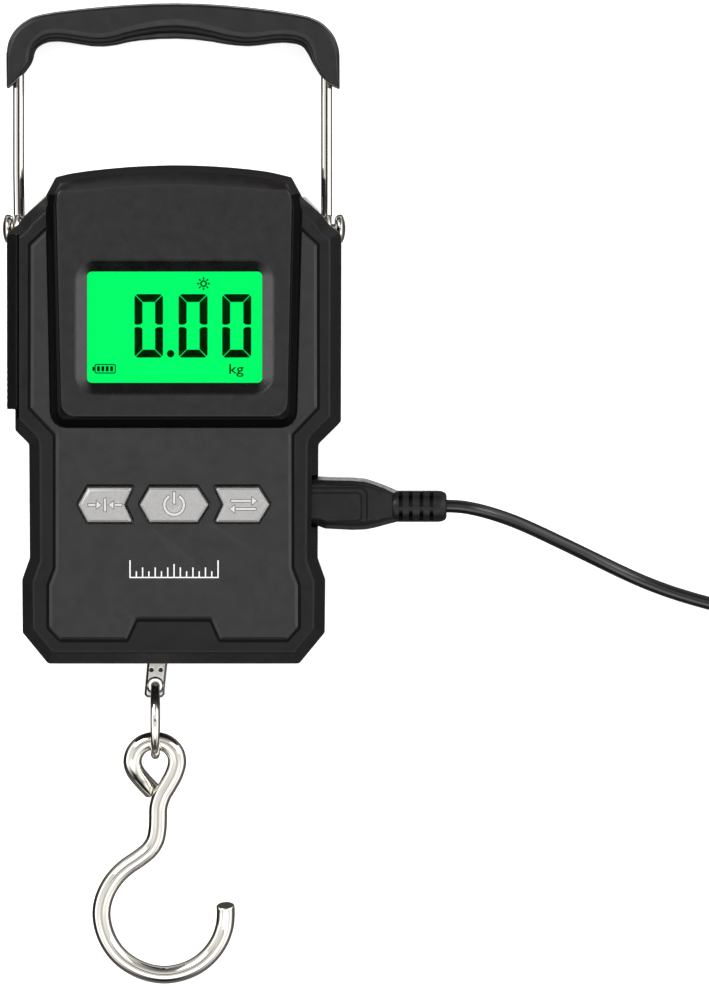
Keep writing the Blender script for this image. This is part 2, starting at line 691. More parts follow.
grip_grey = moulded("grip_grey", (0.0075, 0.0070, 0.0072), (0.34, 0.46), 2000.0, 0.16, 0.36, 1.5)
chrome = metal("chrome", "dcd8d0", (0.04, 0.10), (1, 1, 1), 0.04, 0.92)
strap_steel = metal("strap_steel", "efede8", (0.40, 0.55), (1.0, 6.0, 1.0), 0.12, 0.82)
steel = metal("steel", "aeb0b2", (0.22, 0.38), (6.0, 1.0, 1.0), 0.12, 0.8)
cell_aluminium = metal("cell_aluminium", "c3c5c7", (0.28, 0.42), (1.0, 8.0, 1.0), 0.15, 0.85)
spring_steel = metal("spring_steel", "5d5e66", (0.25, 0.4), (1, 1, 8), 0.1, 0.8)
lead_black = rubber("lead_black", "141313", (0.34, 0.46), 0.26)
cord_black = rubber("cord_black", "0a0909", (0.18, 0.25), 0.6)
silicone = rubber("silicone", "6c6c6c", (0.6, 0.75), 0.4)


def silver_key(name, colour, rim=1.5):
    """Silver lacquer over plastic: metal flakes under a thin coat."""
    m = Mat(name)
    m.set(Metallic=0.35, Specular_IOR_Level=0.5, Coat_Weight=0.25, Coat_Roughness=0.25)
    c = srgb(colour)
    flakes = m.ramp(m.noise(2600.0, 6.0, 0.75), [(0.3, shade(c, 0.84)), (0.7, shade(c, 1.08))])
    rims = m.blend(m.edges(0.53, 0.60), flakes, shade(c, rim))
    r = m.span(m.noise(1800.0, 3.0), 0.34, 0.5)
    n = m.bump(m.noise(3600.0, 4.0, 0.7), 0.08, 0.00003)
    return m.out(rims, r, n)


def glowing_screen():
    """Backlit display: even green with a faint diffuser grain, dimmer at its rim."""
    m = Mat("screen_green")
    m.set(Roughness=0.5, Specular_IOR_Level=0.02)
    # the light guide leaks a little unevenly: brighter towards its lamps
    cloud = m.noise(70.0, 2.0, 0.5)
    lit = m.ramp(cloud, [(0.2, (0.0, 0.96, 0.138, 1)), (0.8, (0.0, 1.0, 0.148, 1))])
    m.link(lit, m.b.inputs["Emission Color"])
    m.b.inputs["Emission Strength"].default_value = 1.0
    base = m.ramp(m.noise(900.0, 3.0), [(0.3, (0.0, 0.02, 0.004, 1)), (0.7, (0.0, 0.03, 0.006, 1))])
    return m.out(base, None, m.bump(m.noise(3000.0, 2.0), 0.03, 0.00002))


def ink(name, colour, rough=0.5, level=0.3):
    m = Mat(name)
    c = srgb(colour)
    m.set(Specular_IOR_Level=level)
    col = m.ramp(m.noise(1200.0, 3.0), [(0.3, shade(c, 0.9)), (0.7, c)])
    r = m.span(m.noise(900.0, 2.0), rough * 0.9, rough * 1.1)
    return m.out(col, r, None)


def clear_lens():
    m = Mat("lens")
    m.set(Transmission_Weight=1.0, IOR=1.12)
    c = m.ramp(m.noise(200.0, 2.0), [(0.3, (0.97, 1.0, 0.98, 1)), (0.7, (1.0, 1.0, 1.0, 1))])
    m.set(Roughness=0.0)
    return m.out(c, None, None)


def circuit_board():
    m = Mat("board")
    g = srgb("1c5a34")
    m.set(Specular_IOR_Level=0.5)
    tracks = m.cells(520.0, "DISTANCE_TO_EDGE")
    col = m.ramp(tracks, [(0.0, shade(g, 1.5)), (0.06, shade(g, 1.35)), (0.12, g), (1.0, shade(g, 0.8))])
    r = m.span(m.noise(600.0), 0.35, 0.5)
    return m.out(col, r, m.bump(tracks, 0.2, 0.00005))


def foil_cell():
    m = Mat("battery_foil")
    c = srgb("9aa0a6")
    m.set(Metallic=0.35)
    col = m.ramp(m.noise(250.0, 4.0), [(0.3, shade(c, 0.85)), (0.7, c)])
    return m.out(col, m.span(m.noise(300.0), 0.3, 0.5), m.bump(m.noise(500.0, 4.0), 0.3, 0.0001))


def tape_yellow():
    m = Mat("tape")
    c = srgb("e2c62a")
    m.set(Specular_IOR_Level=0.5, Coat_Weight=0.2)
    col = m.ramp(m.noise(350.0, 3.0), [(0.3, shade(c, 0.88)), (0.7, c)])
    return m.out(col, m.span(m.noise(500.0), 0.28, 0.4), m.bump(m.noise(900.0, 3.0), 0.06, 0.00004))


def frosted():
    m = Mat("diffuser")
    c = srgb("dfeee0")
    m.set(Specular_IOR_Level=0.4)
    col = m.ramp(m.noise(800.0, 3.0), [(0.3, shade(c, 0.92)), (0.7, c)])
    return m.out(col, m.span(m.noise(800.0), 0.5, 0.7), m.bump(m.cells(900.0), 0.2, 0.00005))


key_silver = silver_key("key_silver", "a9a8a6")
key_bright = silver_key("key_bright", "c9c8c6", 1.08)
screen_green = glowing_screen()
digit_ink = ink("digit_ink", "001e03", 0.6, 0.01)
white_ink = ink("white_ink", "f2f2f0", 0.5, 0.3)
black_ink = ink("black_ink", "151412", 0.5, 0.3)
lens_clear = clear_lens()
board_green = circuit_board()
battery_foil = foil_cell()
tape_mat = tape_yellow()
diffuser = frosted()
gasket_black = moulded("gasket_black", "0b0a0a", (0.6, 0.75), 1800.0, 0.2, 0.2, 1.2)

# ------------------------------------------------------------------ cord
# One line: out of the strain relief, down on to the surface, along it to the
# coil, six turns in two layers, and out again to the large plug.


def cord_route():
    line = [tuple(p) for p in smooth_line(CORD_LINE, 4)]
    first = 75.0
    total = 6 * 360.0
    lay = [19.6, 16.8, 14.0, 14.0, 16.8, 19.6, 22.7]
    height = [1.45, 1.45, 1.45, 4.25, 4.25, 4.25, 4.6]

    def ease(t):
        t = min(max(t, 0.0), 1.0)
        return t * t * (3 - 2 * t)

    steps = 6 * 30
    for k in range(steps + 1):
        gone = total * k / steps
        turn = min(int(gone // 360), 5)
        within = gone - 360 * turn  # degrees gone in this turn
        f = ease((within - 285.0) / 65.0)  # change of lane just before each full turn
        r = lay[turn] + (lay[turn + 1] - lay[turn]) * f
        z = height[turn] + (height[turn + 1] - height[turn]) * f
        a = math.radians(first - gone)
        across = (math.degrees(a) % 360) - 180.0
        z += 0.27 * ease(1.0 - (abs(across) - 7.0) / 12.0)  # over the tie's band
        line.append((COIL_X + r * math.cos(a), COIL_Y + r * math.sin(a), z))
    tail = [
        (153.3, -31.85, 4.1), (158.1, -36.0, 2.7), (161.3, -41.5, 1.65), (162.55, -47.5, 1.45), (162.3, -53.5, 1.5),
        (161.2, -59.5, 2.3), (160.1, -65.2, 3.5), (159.65, -70.0, 4.1), (159.6, -74.6, 4.15),
    ]
    r = 22.7
    start = line[-1]
    line += [tuple(p) for p in smooth_line([line[-3], line[-2], start, *tail], 4)][9:]
    return line


ROUTE = cord_route()
cord_curve = bpy.data.curves.new("charging_cord_line", "CURVE")
cord_curve.dimensions = "3D"
cord_curve.bevel_depth = CORD_R * MM
cord_curve.bevel_resolution = 4
cord_curve.use_fill_caps = True
spline = cord_curve.splines.new("POLY")
spline.points.add(len(ROUTE) - 1)
for q, p in zip(spline.points, ROUTE):
    q.co = (p[0] * MM, p[1] * MM, p[2] * MM, 1.0)
spline.use_smooth = True
cord = bpy.data.objects.new("lead_cord", cord_curve)
ROOT.objects.link(cord)
cord_curve.materials.append(cord_black)
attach(cord, "charging_lead")
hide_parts("charging_cord", "cord_coil", "cord_tail")

# ------------------------------------------------------------------ case
POSTS = [(-18, 61.6), (18, 61.6), (-25, 10.4), (25, 10.4), (-20, -29.6), (20, -29.6)]
BOARD_POSTS = [(-19, 53.2), (19, 53.2), (-19.5, -11.4), (19.5, -11.4)]
HANGER = [
    (-7.0, 3.4), (1.4, 3.4), (1.4, 9.0), (25.5, 24.0), (25.5, 50.0), (29.6, 52.2),
    (30.75, 52.2), (30.75, 59.35), (27.4, 62.65), (24.2, 58.4), (-24.2, 58.4),
    (-27.4, 62.65), (-30.75, 59.35), (-30.75, 52.2), (-29.6, 52.2), (-25.5, 50.0),
    (-25.5, 24.0), (-7.0, 9.0),
]
CASE_FILLET = soften(CASE, CASE_R, 4)


def through_cuts():
    """Openings that both shells share."""
    out = []
    for s in (-1, 1):
        x0, x1 = sorted((s * 30.9, s * 34.2))
        out.append(soft_block(x0, x1, PIVOT_Y - 3.35, 80, LOAD_Z - 6.5, LOAD_Z + 6.5, 0.5, 0.4))
        out.append(rod(3.35, 33.6, 40, along_x(0, PIVOT_Y, LOAD_Z) if s > 0 else Matrix.Rotation(math.pi, 4, "Z") @ along_x(0, -PIVOT_Y, LOAD_Z), 40))
        out.append(rod(1.35, 33, 36, along_x(0, PIVOT_Y, LOAD_Z) if s > 0 else Matrix.Rotation(math.pi, 4, "Z") @ along_x(0, -PIVOT_Y, LOAD_Z), 24))
        x0, x1 = sorted((s * 29.3, s * 31.05))
        out.append(block(x0, x1, 52.2, 57.9, LOAD_Z - 4.8, LOAD_Z + 4.8))
    out.append(prism(grow(HANGER, 0.3), LOAD_Z - 0.95, LOAD_Z + 0.95))
    out.append(block(-7.5, 0.5, -40, -30, LOAD_Z - 1.3, LOAD_Z + 1.3))
    return out


def finger_notch():
    return soft_block(-44, -33.4, 11.0, 17.75, -3, 41, 0.3, 0.1)


# Rear shell
side = profile([(3.2, 0.0), (1.5, 0.0), (0.0, 1.5), (0.0, 8.25), (0.22, REAR_TOP), (1.0, REAR_TOP)], [0, 0.5, 0.7, 0, 0, 0], 3)
rear = slab("rear", CASE, CASE_R, side)
rear = cut(rear, prism(soften(grow(CASE, -WALL), 0.6, 2), BACK, 60))
for x, y in POSTS:
    rear = join(rear, rod(3.1, 0.5, REAR_TOP, at(x, y, 0), 32))
for x, y in POSTS:
    rear = cut(
        rear,
        lathe("tool", [(0, -1), (2.75, -1), (2.75, 0.0), (2.25, 0.5), (2.25, 3.2), (0, 3.2)], 32, at(x, y, 0)),
        rod(1.3, 2, 12, at(x, y, 0), 24),
    )
rear = join(rear, block(-20, 20, 19.2, 20.4, 1.5, 6.0), block(-20, 20, 53.0, 54.2, 1.5, 6.0))
# back: a plain recessed field with a rolled rim, and ribs for the fingers
field = profile([(-0.5, -0.5), (0.0, 0.0), (0.35, 0.4), (1.0, 0.4)], [0, 0, 0.2, 0], 2)
rear = cut(rear, slab("tool", rectangle(-21, 21, 20, 50), 2.5, field, 6))
for k in range(5):
    y = -21.5 + 5.2 * k
    rear = cut(rear, slab("tool", rectangle(-15 + k * 0.8, 15 - k * 0.8, y, y + 2.2), 1.05, profile([(-0.3, -0.3), (0.0, 0.0), (0.45, 0.45), (0.9, 0.5)], [0, 0, 0.3, 0], 2), 6))
rear = cut(rear, *through_cuts(), finger_notch())
piece(rear, "rear_shell_body", "case", case_black, ["rear_shell"])

# Front shell
side = profile(
    [(1.0, FRONT_BOTTOM), (0.22, FRONT_BOTTOM), (0.0, 8.97), (0.0, CHAMFER_Z), (CHAMFER, FACE_Z), (3.6, FACE_Z)],
    [0, 0, 0, 1.6, 0.75, 0], 4,
)
front = slab("front", CASE, CASE_R, side)
front = cut(front, prism(soften(grow(CASE, -WALL), 0.6, 2), 0, 18.5), prism(soften(grow(CASE, -4.1), 0.6, 2), 0, CEILING_Z))
front = join(front, block(-33.4, -30.9, 13.6, 52.7, FRONT_BOTTOM, CEILING_Z + 0.2))
for x, y in POSTS:
    front = join(front, rod(2.7, FRONT_BOTTOM, CEILING_Z + 0.5, at(x, y, 0), 24))
for x, y in POSTS:
    front = cut(front, rod(1.25, 0, 17.5, at(x, y, 0), 20))
for x, y in BOARD_POSTS:
    front = join(front, rod(1.9, PCB_Z[1] + 0.15, CEILING_Z + 0.5, at(x, y, 0), 20))
for x, y in BOARD_POSTS:
    front = cut(front, rod(0.9, 0, 21.0, at(x, y, 0), 16))
seat = profile([(0.0, POCKET_Z), (0.0, 24.85), (-0.16, 25.03), (-0.9, 25.8)], [0, 0.15, 0, 0], 3)
front = cut(front, slab("tool", grow(PANEL, 0.24), PANEL_R, seat, 4))
front = cut(front, prism(soften(grow(HOOD, 0.25), HOOD_R, 4), POCKET_Z, 60))
lip_zone = keep(prism(soften(grow(HOOD, 0.35), HOOD_R, 4), CHAMFER_Z - 0.2, 60), block(-26.5, 26.5, 60.5, 80, 0, 60))
lip_zone = cut(lip_zone, prism(soften(grow(CASE, -2.6), 0.4, 2), 0, 60))
front = cut(front, lip_zone, block(-21.6, 21.9, 19.2, 50.2, CEILING_Z - 1, 30))
for b in (ZERO_BUTTON, POWER_BUTTON, UNIT_BUTTON):
    front = cut(front, prism(soften(grow(b, 0.35), 0.35, 3), CEILING_Z - 1, 30))
front = cut(
    front,
    soft_block(28.3, 40, -7.12, 3.86, USB_Z - 4.1, USB_Z + 4.1, 0.3, 0.3),
    soft_block(20, 32, USB_Y - 4.2, USB_Y + 4.2, USB_Z - 1.75, USB_Z + 1.75, 0.5, 0.4),
)
front = cut(front, *through_cuts(), block(-36, -29, TAPE_Y - 0.35, TAPE_Y + 0.65, TAPE_Z[0] - 0.3, TAPE_Z[1] + 0.3))
front = cut(front, block(-40, -32.4, 13.2, 54.3, FRONT_BOTTOM - 2, 40), finger_notch())
eased = [(-33.0, 23.9), (-31.55, 25.35), (-31.55, 26.0), (-33.0, 26.0)]
front = cut(front, loft("tool", [[(x, y, z) for x, z in eased] for y in (17.0, 53.6)]))
piece(front, "front_shell_body", "case", case_black, ["front_shell"])

# Front panel: thin plate with a rolled edge
side = profile([(0.35, POCKET_Z + 0.02), (0.0, POCKET_Z + 0.2), (0.0, 25.0), (0.62, PANEL_Z), (1.3, PANEL_Z)], [0, 0, 0.2, 0.25, 0], 4)
panel = slab("panel", grow(PANEL, -0.22), PANEL_R, side)
panel = cut(panel, prism(soften(grow(HOOD, 0.3), HOOD_R, 4), 0, 60))
for b in (ZERO_BUTTON, POWER_BUTTON, UNIT_BUTTON):
    lead_in = profile([(0.0, 20.0), (0.0, 25.3), (-0.2, 25.52), (-0.8, 26.1)], [0, 0.2, 0, 0], 3)
    for lift in (0.0, 0.27):
        panel = cut(panel, slab("tool", [(x, y + lift) for x, y in grow(b, 0.33)], 0.35, lead_in, 3))
piece(panel, "front_panel_plate", "case", panel_grey, ["front_panel"])

# Display hood: sloping skirt, narrow shoulder, and a face that stands on it
CROWN_ENDS = {3: 0.0, 4: 0.22, 5: 0.85, 15: 0.85, 16: 0.22, 17: 0.0}
rings = []
for i, z in profile([(0.0, POCKET_Z + 0.1), (0.0, 25.6), (1.45, 27.45), (1.72, 27.6)], [0, 0.6, 0.3, 0], 4):
    rings.append(ring(HOOD, HOOD_R, i, z, 4))
# the face stands crisply off its sides, and rises in a long soft crown at the top
for i, crown, z in ((-0.14, -1.45, 27.75), (-0.1, -0.75, 28.08), (0.0, -0.1, 28.31), (0.12, 0.5, 28.45), (0.3, 1.2, HOOD_Z), (0.8, 1.9, HOOD_Z)):
    rings.append(ring(HOOD_FACE, HOOD_FACE_R, [i + (crown - i) * (1.0 if 6 <= k <= 14 else CROWN_ENDS.get(k, 0.0)) for k in range(19)], z, 4))
hood = loft("hood", rings)
lip = keep(prism(soften(HOOD, HOOD_R, 4), CHAMFER_Z + 0.1, POCKET_Z + 0.5), block(-26.15, 26.15, 60.9, 80, 0, 60))
lip = cut(lip, prism(soften(grow(CASE, -2.3), 0.4, 2), 0, 60))
hood = join(hood, lip)
recess = [(0.0, 20.0), (0.0, 26.55), (2.2, 28.25), (2.75, 28.6), (3.4, 29.0)]
recess = profile([(-i, z) for i, z in recess], [0, 0.12, 0.3, 0, 0], 3)
hood = cut(hood, loft("tool", [ring(WINDOW, 1.0 if z < 26.7 else 1.9, i, z, 6) for i, z in recess]))
hood = cut(hood, prism(soften(grow(WINDOW, 1.3), 1.2, 4), 20, 25.6))
piece(
    hood, "display_hood_body", "case", hood_grey, ["display_hood"],
    others=(
        (hood_edge, lambda c: c.z < 28.3),
        (hood_rim, lambda c: 24.2 < c.z < 28.42 and c.y > (62.7 if abs(c.x - 0.15) > 24.4 else 63.2)),
        (bezel_black, lambda c: 25.0 < c.z < 28.35 and -20.9 < c.x < 21.3 and 20.2 < c.y < 49.1),
    ),
)

# Window, and the display under it
side = profile([(0.3, POCKET_Z + 0.25), (0.0, POCKET_Z + 0.4), (0.0, 25.4), (0.8, 25.4)], [0, 0, 0.15, 0], 3)
lens = slab("lens", grow(WINDOW, 1.0), 1.0, side, 5)
piece(lens, "display_window", "case", lens_clear, ["display_lens"])
lcd = soft_block(-20.2, 20.6, 19.8, 49.6, 21.9, 23.2, 0.4, 0.12)
lcd = join(lcd, soft_block(-20.2, 20.6, 22.3, 49.0, 23.0, 23.7, 0.4, 0.12))
piece(lcd, "lcd_glass", "case", screen_green, ["lcd_panel"], others=[(case_black, lambda c: c.z < 23.15)])

LCD_TOP = 23.7


def glyph(polys, z0=LCD_TOP - 0.02, z1=LCD_TOP + 0.06):
    return [prism(p, z0, z1) for p in polys]


def digit_segments(x0, x1, y0, y1, t, lit="abcdef"):
    g, c = 0.09, 0.62
    ym = (y0 + y1) / 2
    shapes = {
        "a": [(x0 + 0.2 + g, y1 - 0.18), (x0 + c, y1), (x1 - c, y1), (x1 - 0.2 - g, y1 - 0.18), (x1 - t - g, y1 - t), (x0 + t + g, y1 - t)],
        "f": [(x0 + 0.18, y1 - 0.2 - g), (x0 + t, y1 - t - g), (x0 + t, ym + 0.62), (x0 + t * 0.72, ym + 0.3), (x0 + t * 0.3, ym + 0.2), (x0, ym + 0.42), (x0, y1 - c)],
    }
    shapes["d"] = [(x, y0 + y1 - y) for x, y in reversed(shapes["a"])]
    shapes["e"] = [(x, y0 + y1 - y) for x, y in reversed(shapes["f"])]
    shapes["b"] = [(x0 + x1 - x, y) for x, y in reversed(shapes["f"])]
    shapes["c"] = [(x0 + x1 - x, y) for x, y in reversed(shapes["e"])]
    return [shapes[k] for k in lit]


polys = []
for x0, x1 in ((-8.18, -2.2), (1.08, 7.13), (10.22, 16.3)):
    polys += digit_segments(x0, x1, 28.5, 41.8, 1.66)
polys.append(circle(-0.61, 29.32, 0.78, 20))
digits = merge("digits", glyph(polys))
piece(digits, "lcd_digits", "case", digit_ink, (), 30)

icons = []
# lamp icon: a small ring with eight rays
icons += glyph([circle(6.3, 44.0, 0.72, 20)])
icons[-1] = cut(icons[-1], prism(circle(6.3, 44.0, 0.4, 20), 20, 30))
for k in range(8):
    a = math.pi / 4 * k
    c, s = math.cos(a), math.sin(a)
    icons += glyph([[(6.3 + c * u - s * v, 44.0 + s * u + c * v) for u, v in ((0.86, -0.17), (1.34, -0.14), (1.34, 0.14), (0.86, 0.17))]])
# battery icon: outline, nub, four bars
bx0, bx1, by0, by1 = -16.55, -12.1, 25.15, 27.15
body = glyph([soften(rectangle(bx0, bx1, by0, by1), 0.35, 3)])[0]
body = cut(body, prism(soften(rectangle(bx0 + 0.22, bx1 - 0.22, by0 + 0.22, by1 - 0.22), 0.2, 3), 20, 30))
icons.append(body)
icons += glyph([soften(rectangle(bx0 - 0.45, bx0 - 0.02, 25.7, 26.6), 0.12, 2)])
for k in range(4):
    x = bx0 + 0.5 + 0.92 * k
    icons += glyph([soften(rectangle(x, x + 0.62, by0 + 0.45, by1 - 0.45), 0.08, 2)])
piece(merge("icons", icons), "lcd_icons", "case", digit_ink, (), 30)


def letters(text, size, wide, x, y, z0, z1, name):
    """Plain unit letters as thin solids."""
    c = bpy.data.curves.new(name, "FONT")
    c.body = text
    c.size = size * MM
    c.extrude = (z1 - z0) / 2 * MM
    c.resolution_u = 4
    c.offset = 0.006 * size * MM
    o = bpy.data.objects.new(name, c)
    ROOT.objects.link(o)
    o.location = (x * MM, y * MM, (z0 + z1) / 2 * MM)
    o.scale = (wide, 1.0, 1.0)
    bpy.context.view_layer.update()
    dg = bpy.context.evaluated_depsgraph_get()
    mesh = bpy.data.meshes.new_from_object(o.evaluated_get(dg))
    mesh.transform(o.matrix_world)
    bpy.data.objects.remove(o)
    out = bpy.data.objects.new(name, mesh)
    ROOT.objects.link(out)
    return out


unit_mark = letters("kg", 2.95, 1.2, 11.5, 25.15, LCD_TOP - 0.02, LCD_TOP + 0.06, "unit_mark")
piece(unit_mark, "lcd_unit", "case", digit_ink, (), 30)

# ------------------------------------------------------------------ keys


def middle(points):
    xs, ys = [p[0] for p in points], [p[1] for p in points]
    return (min(xs) + max(xs)) / 2, (min(ys) + max(ys)) / 2


CAP_Z = PANEL_Z + 0.8
MARK = (CAP_Z - 0.3, CAP_Z + 0.08)


def key(name, points, body, node, marks):
    """A cap with a bevelled rim. Each mark is a path and its width, closed or an
    open line: a narrow trench round it, and the mark itself standing in it."""
    side = profile(
        [(0.0, CEILING_Z - 1.2), (0.0, CAP_Z - 0.45), (0.45, CAP_Z), (1.0, CAP_Z)],
        [0, 0.12, 0.15, 0], 3,
    )
    cap = slab(name, points, 0.3, side, 3)
    cx, cy = middle(points)
    cap = join(cap, prism(soften(grow(points, 0.85), 0.4, 2), CEILING_Z - 1.1, CEILING_Z - 0.2))
    cap = join(cap, block(cx - 3.2, cx + 3.2, cy - 2.4, cy + 2.4, PCB_Z[1] + 1.4, CEILING_Z - 0.9))
    for line, width in marks:
        cap = cut(cap, stroke(line, width + 0.34, CAP_Z - 0.3, CAP_Z + 1, 0.17) if len(line) != 3 else prism(grow(line, 0.17), CAP_Z - 0.3, CAP_Z + 1))
    raised = []
    for line, width in marks:
        raised.append(stroke(line, width, *MARK) if len(line) != 3 else prism(line, *MARK))
    piece(cap, name, body, key_silver, [node], 28)
    piece(merge(name + "_mark", raised), name + "_mark", body, key_bright, (), 30)


py = -2.4
key("power_key_cap", POWER_BUTTON, "power_key", "power_button", [
    (arc(0.15, py, 2.05, 120, 420, 40), 0.48), ([(0.15, py + 0.25), (0.15, py + 2.7)], 0.48),
])


def arrow(x, y, d, length, size=0.95, width=0.4):
    """A straight arrow that points along d (1 right, -1 left)."""
    head = [(x, y), (x - size, y + size * 0.78), (x - size, y - size * 0.78)] if d > 0 else [(x, y), (x + size, y - size * 0.78), (x + size, y + size * 0.78)]
    return [([(x - d * length, y), (x - d * size * 1.3, y)], width), (head, 0)]


zx, zy = -14.35, -2.4
key("zero_key_cap", ZERO_BUTTON, "zero_key", "zero_button", [([(zx, zy - 1.35), (zx, zy + 1.35)], 0.42)] + arrow(zx - 0.8, zy, 1, 2.7) + arrow(zx + 0.8, zy, -1, 2.7))
ux, uy = 14.65, -2.4
key("unit_key_cap", UNIT_BUTTON, "unit_key", "unit_button", arrow(ux + 2.8, uy + 0.85, 1, 5.4) + arrow(ux - 2.8, uy - 0.85, -1, 5.4))

# Printed graduation under the keys: thin pads of white ink
ticks = []
for k in range(15):
    x = -9.1 + 18.45 * k / 14
    h = 3.7 if k in (0, 14) else (2.9 if k % 7 == 0 else (2.2 if k % 2 == 0 else 1.4))
    ticks.append(prism(rectangle(x - 0.13, x + 0.13, -17.7, -17.7 + h), PANEL_Z - 0.02, PANEL_Z + 0.03))
ticks.append(prism(rectangle(-9.23, 9.48, -17.72, -17.48), PANEL_Z - 0.015, PANEL_Z + 0.028))
piece(merge("ticks", ticks), "panel_graduation", "case", white_ink, (), 30)

# ------------------------------------------------------------------ screws


def case_screw(i, x, y):
    side = [(0, 0.25), (0.9, 0.12), (1.5, 0.0), (1.82, 0.18), (1.9, 0.55), (1.9, 1.6), (0.9, 1.6)]
    h = 1.75
    while h < 13.6:
        side += [(0.72, h), (0.9, h + 0.22)]
        h += 0.62
    side += [(0.7, 13.9), (0, 14.5)]
    s = lathe("screw", side, 28, at(x, y, 1.3))
    for a in (0.35, 0.35 + math.pi / 2):
        c, d = math.cos(a), math.sin(a)
        s = cut(s, prism([(x + c * u - d * v, y + d * u + c * v) for u, v in ((-1.0, -0.2), (1.0, -0.2), (1.0, 0.2), (-1.0, 0.2))], 0.5, 2.15))
    piece(s, "case_screw_%d_turned" % i, "case", steel, ["case_screw_%d" % i], 35)


for i, (x, y) in enumerate(POSTS):
    case_screw(i + 1, x, y)

# ------------------------------------------------------------------ load path
side = profile([(0.5, LOAD_Z - 0.6), (0.0, LOAD_Z - 0.6), (0.0, LOAD_Z + 0.6), (0.5, LOAD_Z + 0.6)], [0, 0.16, 0.16, 0], 3)
hanger = slab("hanger", HANGER, 0.4, side, 3)
for s in (-1, 1):
    x0, x1 = sorted((s * 29.6, s * 30.75))
    hanger = join(hanger, block(x0, x1, 52.5, 57.6, LOAD_Z - 4.5, LOAD_Z + 4.5))
for s in (-1, 1):
    x0, x1 = sorted((s * 28.2, s * 29.61))
    hanger = cut(hanger, rod(1.3, s * 28.2 if s > 0 else -33, 33 if s > 0 else -28.2, along_x(0, PIVOT_Y, LOAD_Z), 24), block(x0, x1, PIVOT_Y - 2.2, PIVOT_Y + 2.2, 0, 20))
hanger = cut(hanger, rod(1.3, 0, 20, at(CELL_X, 7.0, 0), 20), rod(1.45, 0, 20, at(DRUM[0], DRUM[1], 0), 20))
piece(hanger, "hanger_plate_steel", "case", strap_steel, ["hanger_plate"])


def pivot_pin(name, sign, node):
    side = [(0, -6.25), (1.7, -6.25), (1.8, -6.15), (1.8, -5.7), (1.7, -5.6), (1.0, -5.6), (1.0, -1.16)]
    side += [(1.9, -1.16), (2.35, -1.08), (2.7, -0.86), (2.95, -0.5), (3.05, -0.1), (3.05, 0.3), (2.95, 0.45), (2.7, 0.62), (2.3, 0.8), (1.8, 0.94), (1.2, 1.06), (0.6, 1.13), (0, 1.15)]
    turn = along_x(0, 0, 0) if sign > 0 else Matrix.Rotation(math.pi, 4, "Z") @ along_x(0, 0, 0)
    pin = lathe(name, side, 40, at(sign * 34.9, PIVOT_Y, LOAD_Z) @ turn)
    piece(pin, name, "case", chrome, [node], 35)


pivot_pin("pivot_pin_left_turned", -1, "pivot_pin_left")
pivot_pin("pivot_pin_right_turned", 1, "pivot_pin_right")

# Strap: doubled sheet steel, pressed dimples either side of the ring
STRAP = arc(CELL_X, STRAP_PIN_Y, 2.15, -5, 185, 20) + [(-6.25, -42.3), (-5.65, -42.9), (-2.6, -42.9), (-1.98, -42.3), (-1.98, -41.3)]
TOP = LOAD_Z + 1.0
under = profile([(0.4, LOAD_Z - 1.0), (0.0, LOAD_Z - 1.0), (0.0, LOAD_Z - 0.03), (0.4, LOAD_Z - 0.03)], [0, 0.14, 0.14, 0], 3)
over = profile([(0.4, LOAD_Z + 0.03), (0.0, LOAD_Z + 0.03), (0.0, TOP - 0.75), (0.5, TOP), (0.9, TOP)], [0, 0.14, 0.1, 0.12, 0], 3)
leaves = [loft("leaf", [[(x, y, z) for x, y in grow(STRAP, -i)] for i, z in side]) for side in (under, over)]
for leaf in leaves:
    cut(leaf, rod(1.3, 0, 20, at(CELL_X, STRAP_PIN_Y, 0), 24))
eye = [(0, 0), (1.45, 0), (1.45, TOP - 0.42), (1.95, TOP + 0.05), (1.95, 22), (0, 22)]
leaves = [cut(leaf, lathe("tool", eye, 32, at(STRAP_EYE[0], STRAP_EYE[1], 0))) for leaf in leaves]
for x in (-4.75, -2.8):
    leaves[1] = cut(leaves[1], lathe("tool", [(0, TOP - 0.42), (0.4, TOP - 0.42), (0.58, TOP - 0.1), (0.66, TOP + 1), (0, TOP + 1)], 20, at(x, -37.0, 0)))
piece(
    merge("strap", leaves), "strap_plate", "strap", strap_steel, ["load_strap"],
    others=[(chrome, lambda c: LOAD_Z + 0.2 < c.z < TOP - 0.02)],
)

# Ring
section = circle(RING_R, 0, RING_WIRE, 24)
place = at(STRAP_EYE[0], RING_Y, LOAD_Z) @ Matrix.Rotation(math.pi / 2, 4, "Y")
piece(lathe_ring("ring", section, 96, place), "ring_wire", "ring_body", chrome, ["ring"], 60)

# Hook
place = at(STRAP_EYE[0], HOOK_EYE_Y, HOOK_EYE_Z) @ Matrix.Rotation(HOOK_TILT, 4, "X")
bent = [(p[0] * (1.02 if p[0] < -5 else 1.0), p[1] * 1.006, *p[2:]) for p in HOOK_LINE]
hook = tube("hook", smooth_line(bent, 7), HOOK_WIRE, 32, 0.25, place)
piece(hook, "hook_wire", "hook_body", chrome, ["hook"], 40)

# ------------------------------------------------------------------ handle
UP = WIRE_TOP


# the wire stands a little to the left of the middle of the case
WIRE_L, WIRE_RIGHT = -WIRE_X - 0.2, WIRE_X - 0.42
EYE_L = WIRE_L + 0.13  # its left eye keeps clear of the pin's head


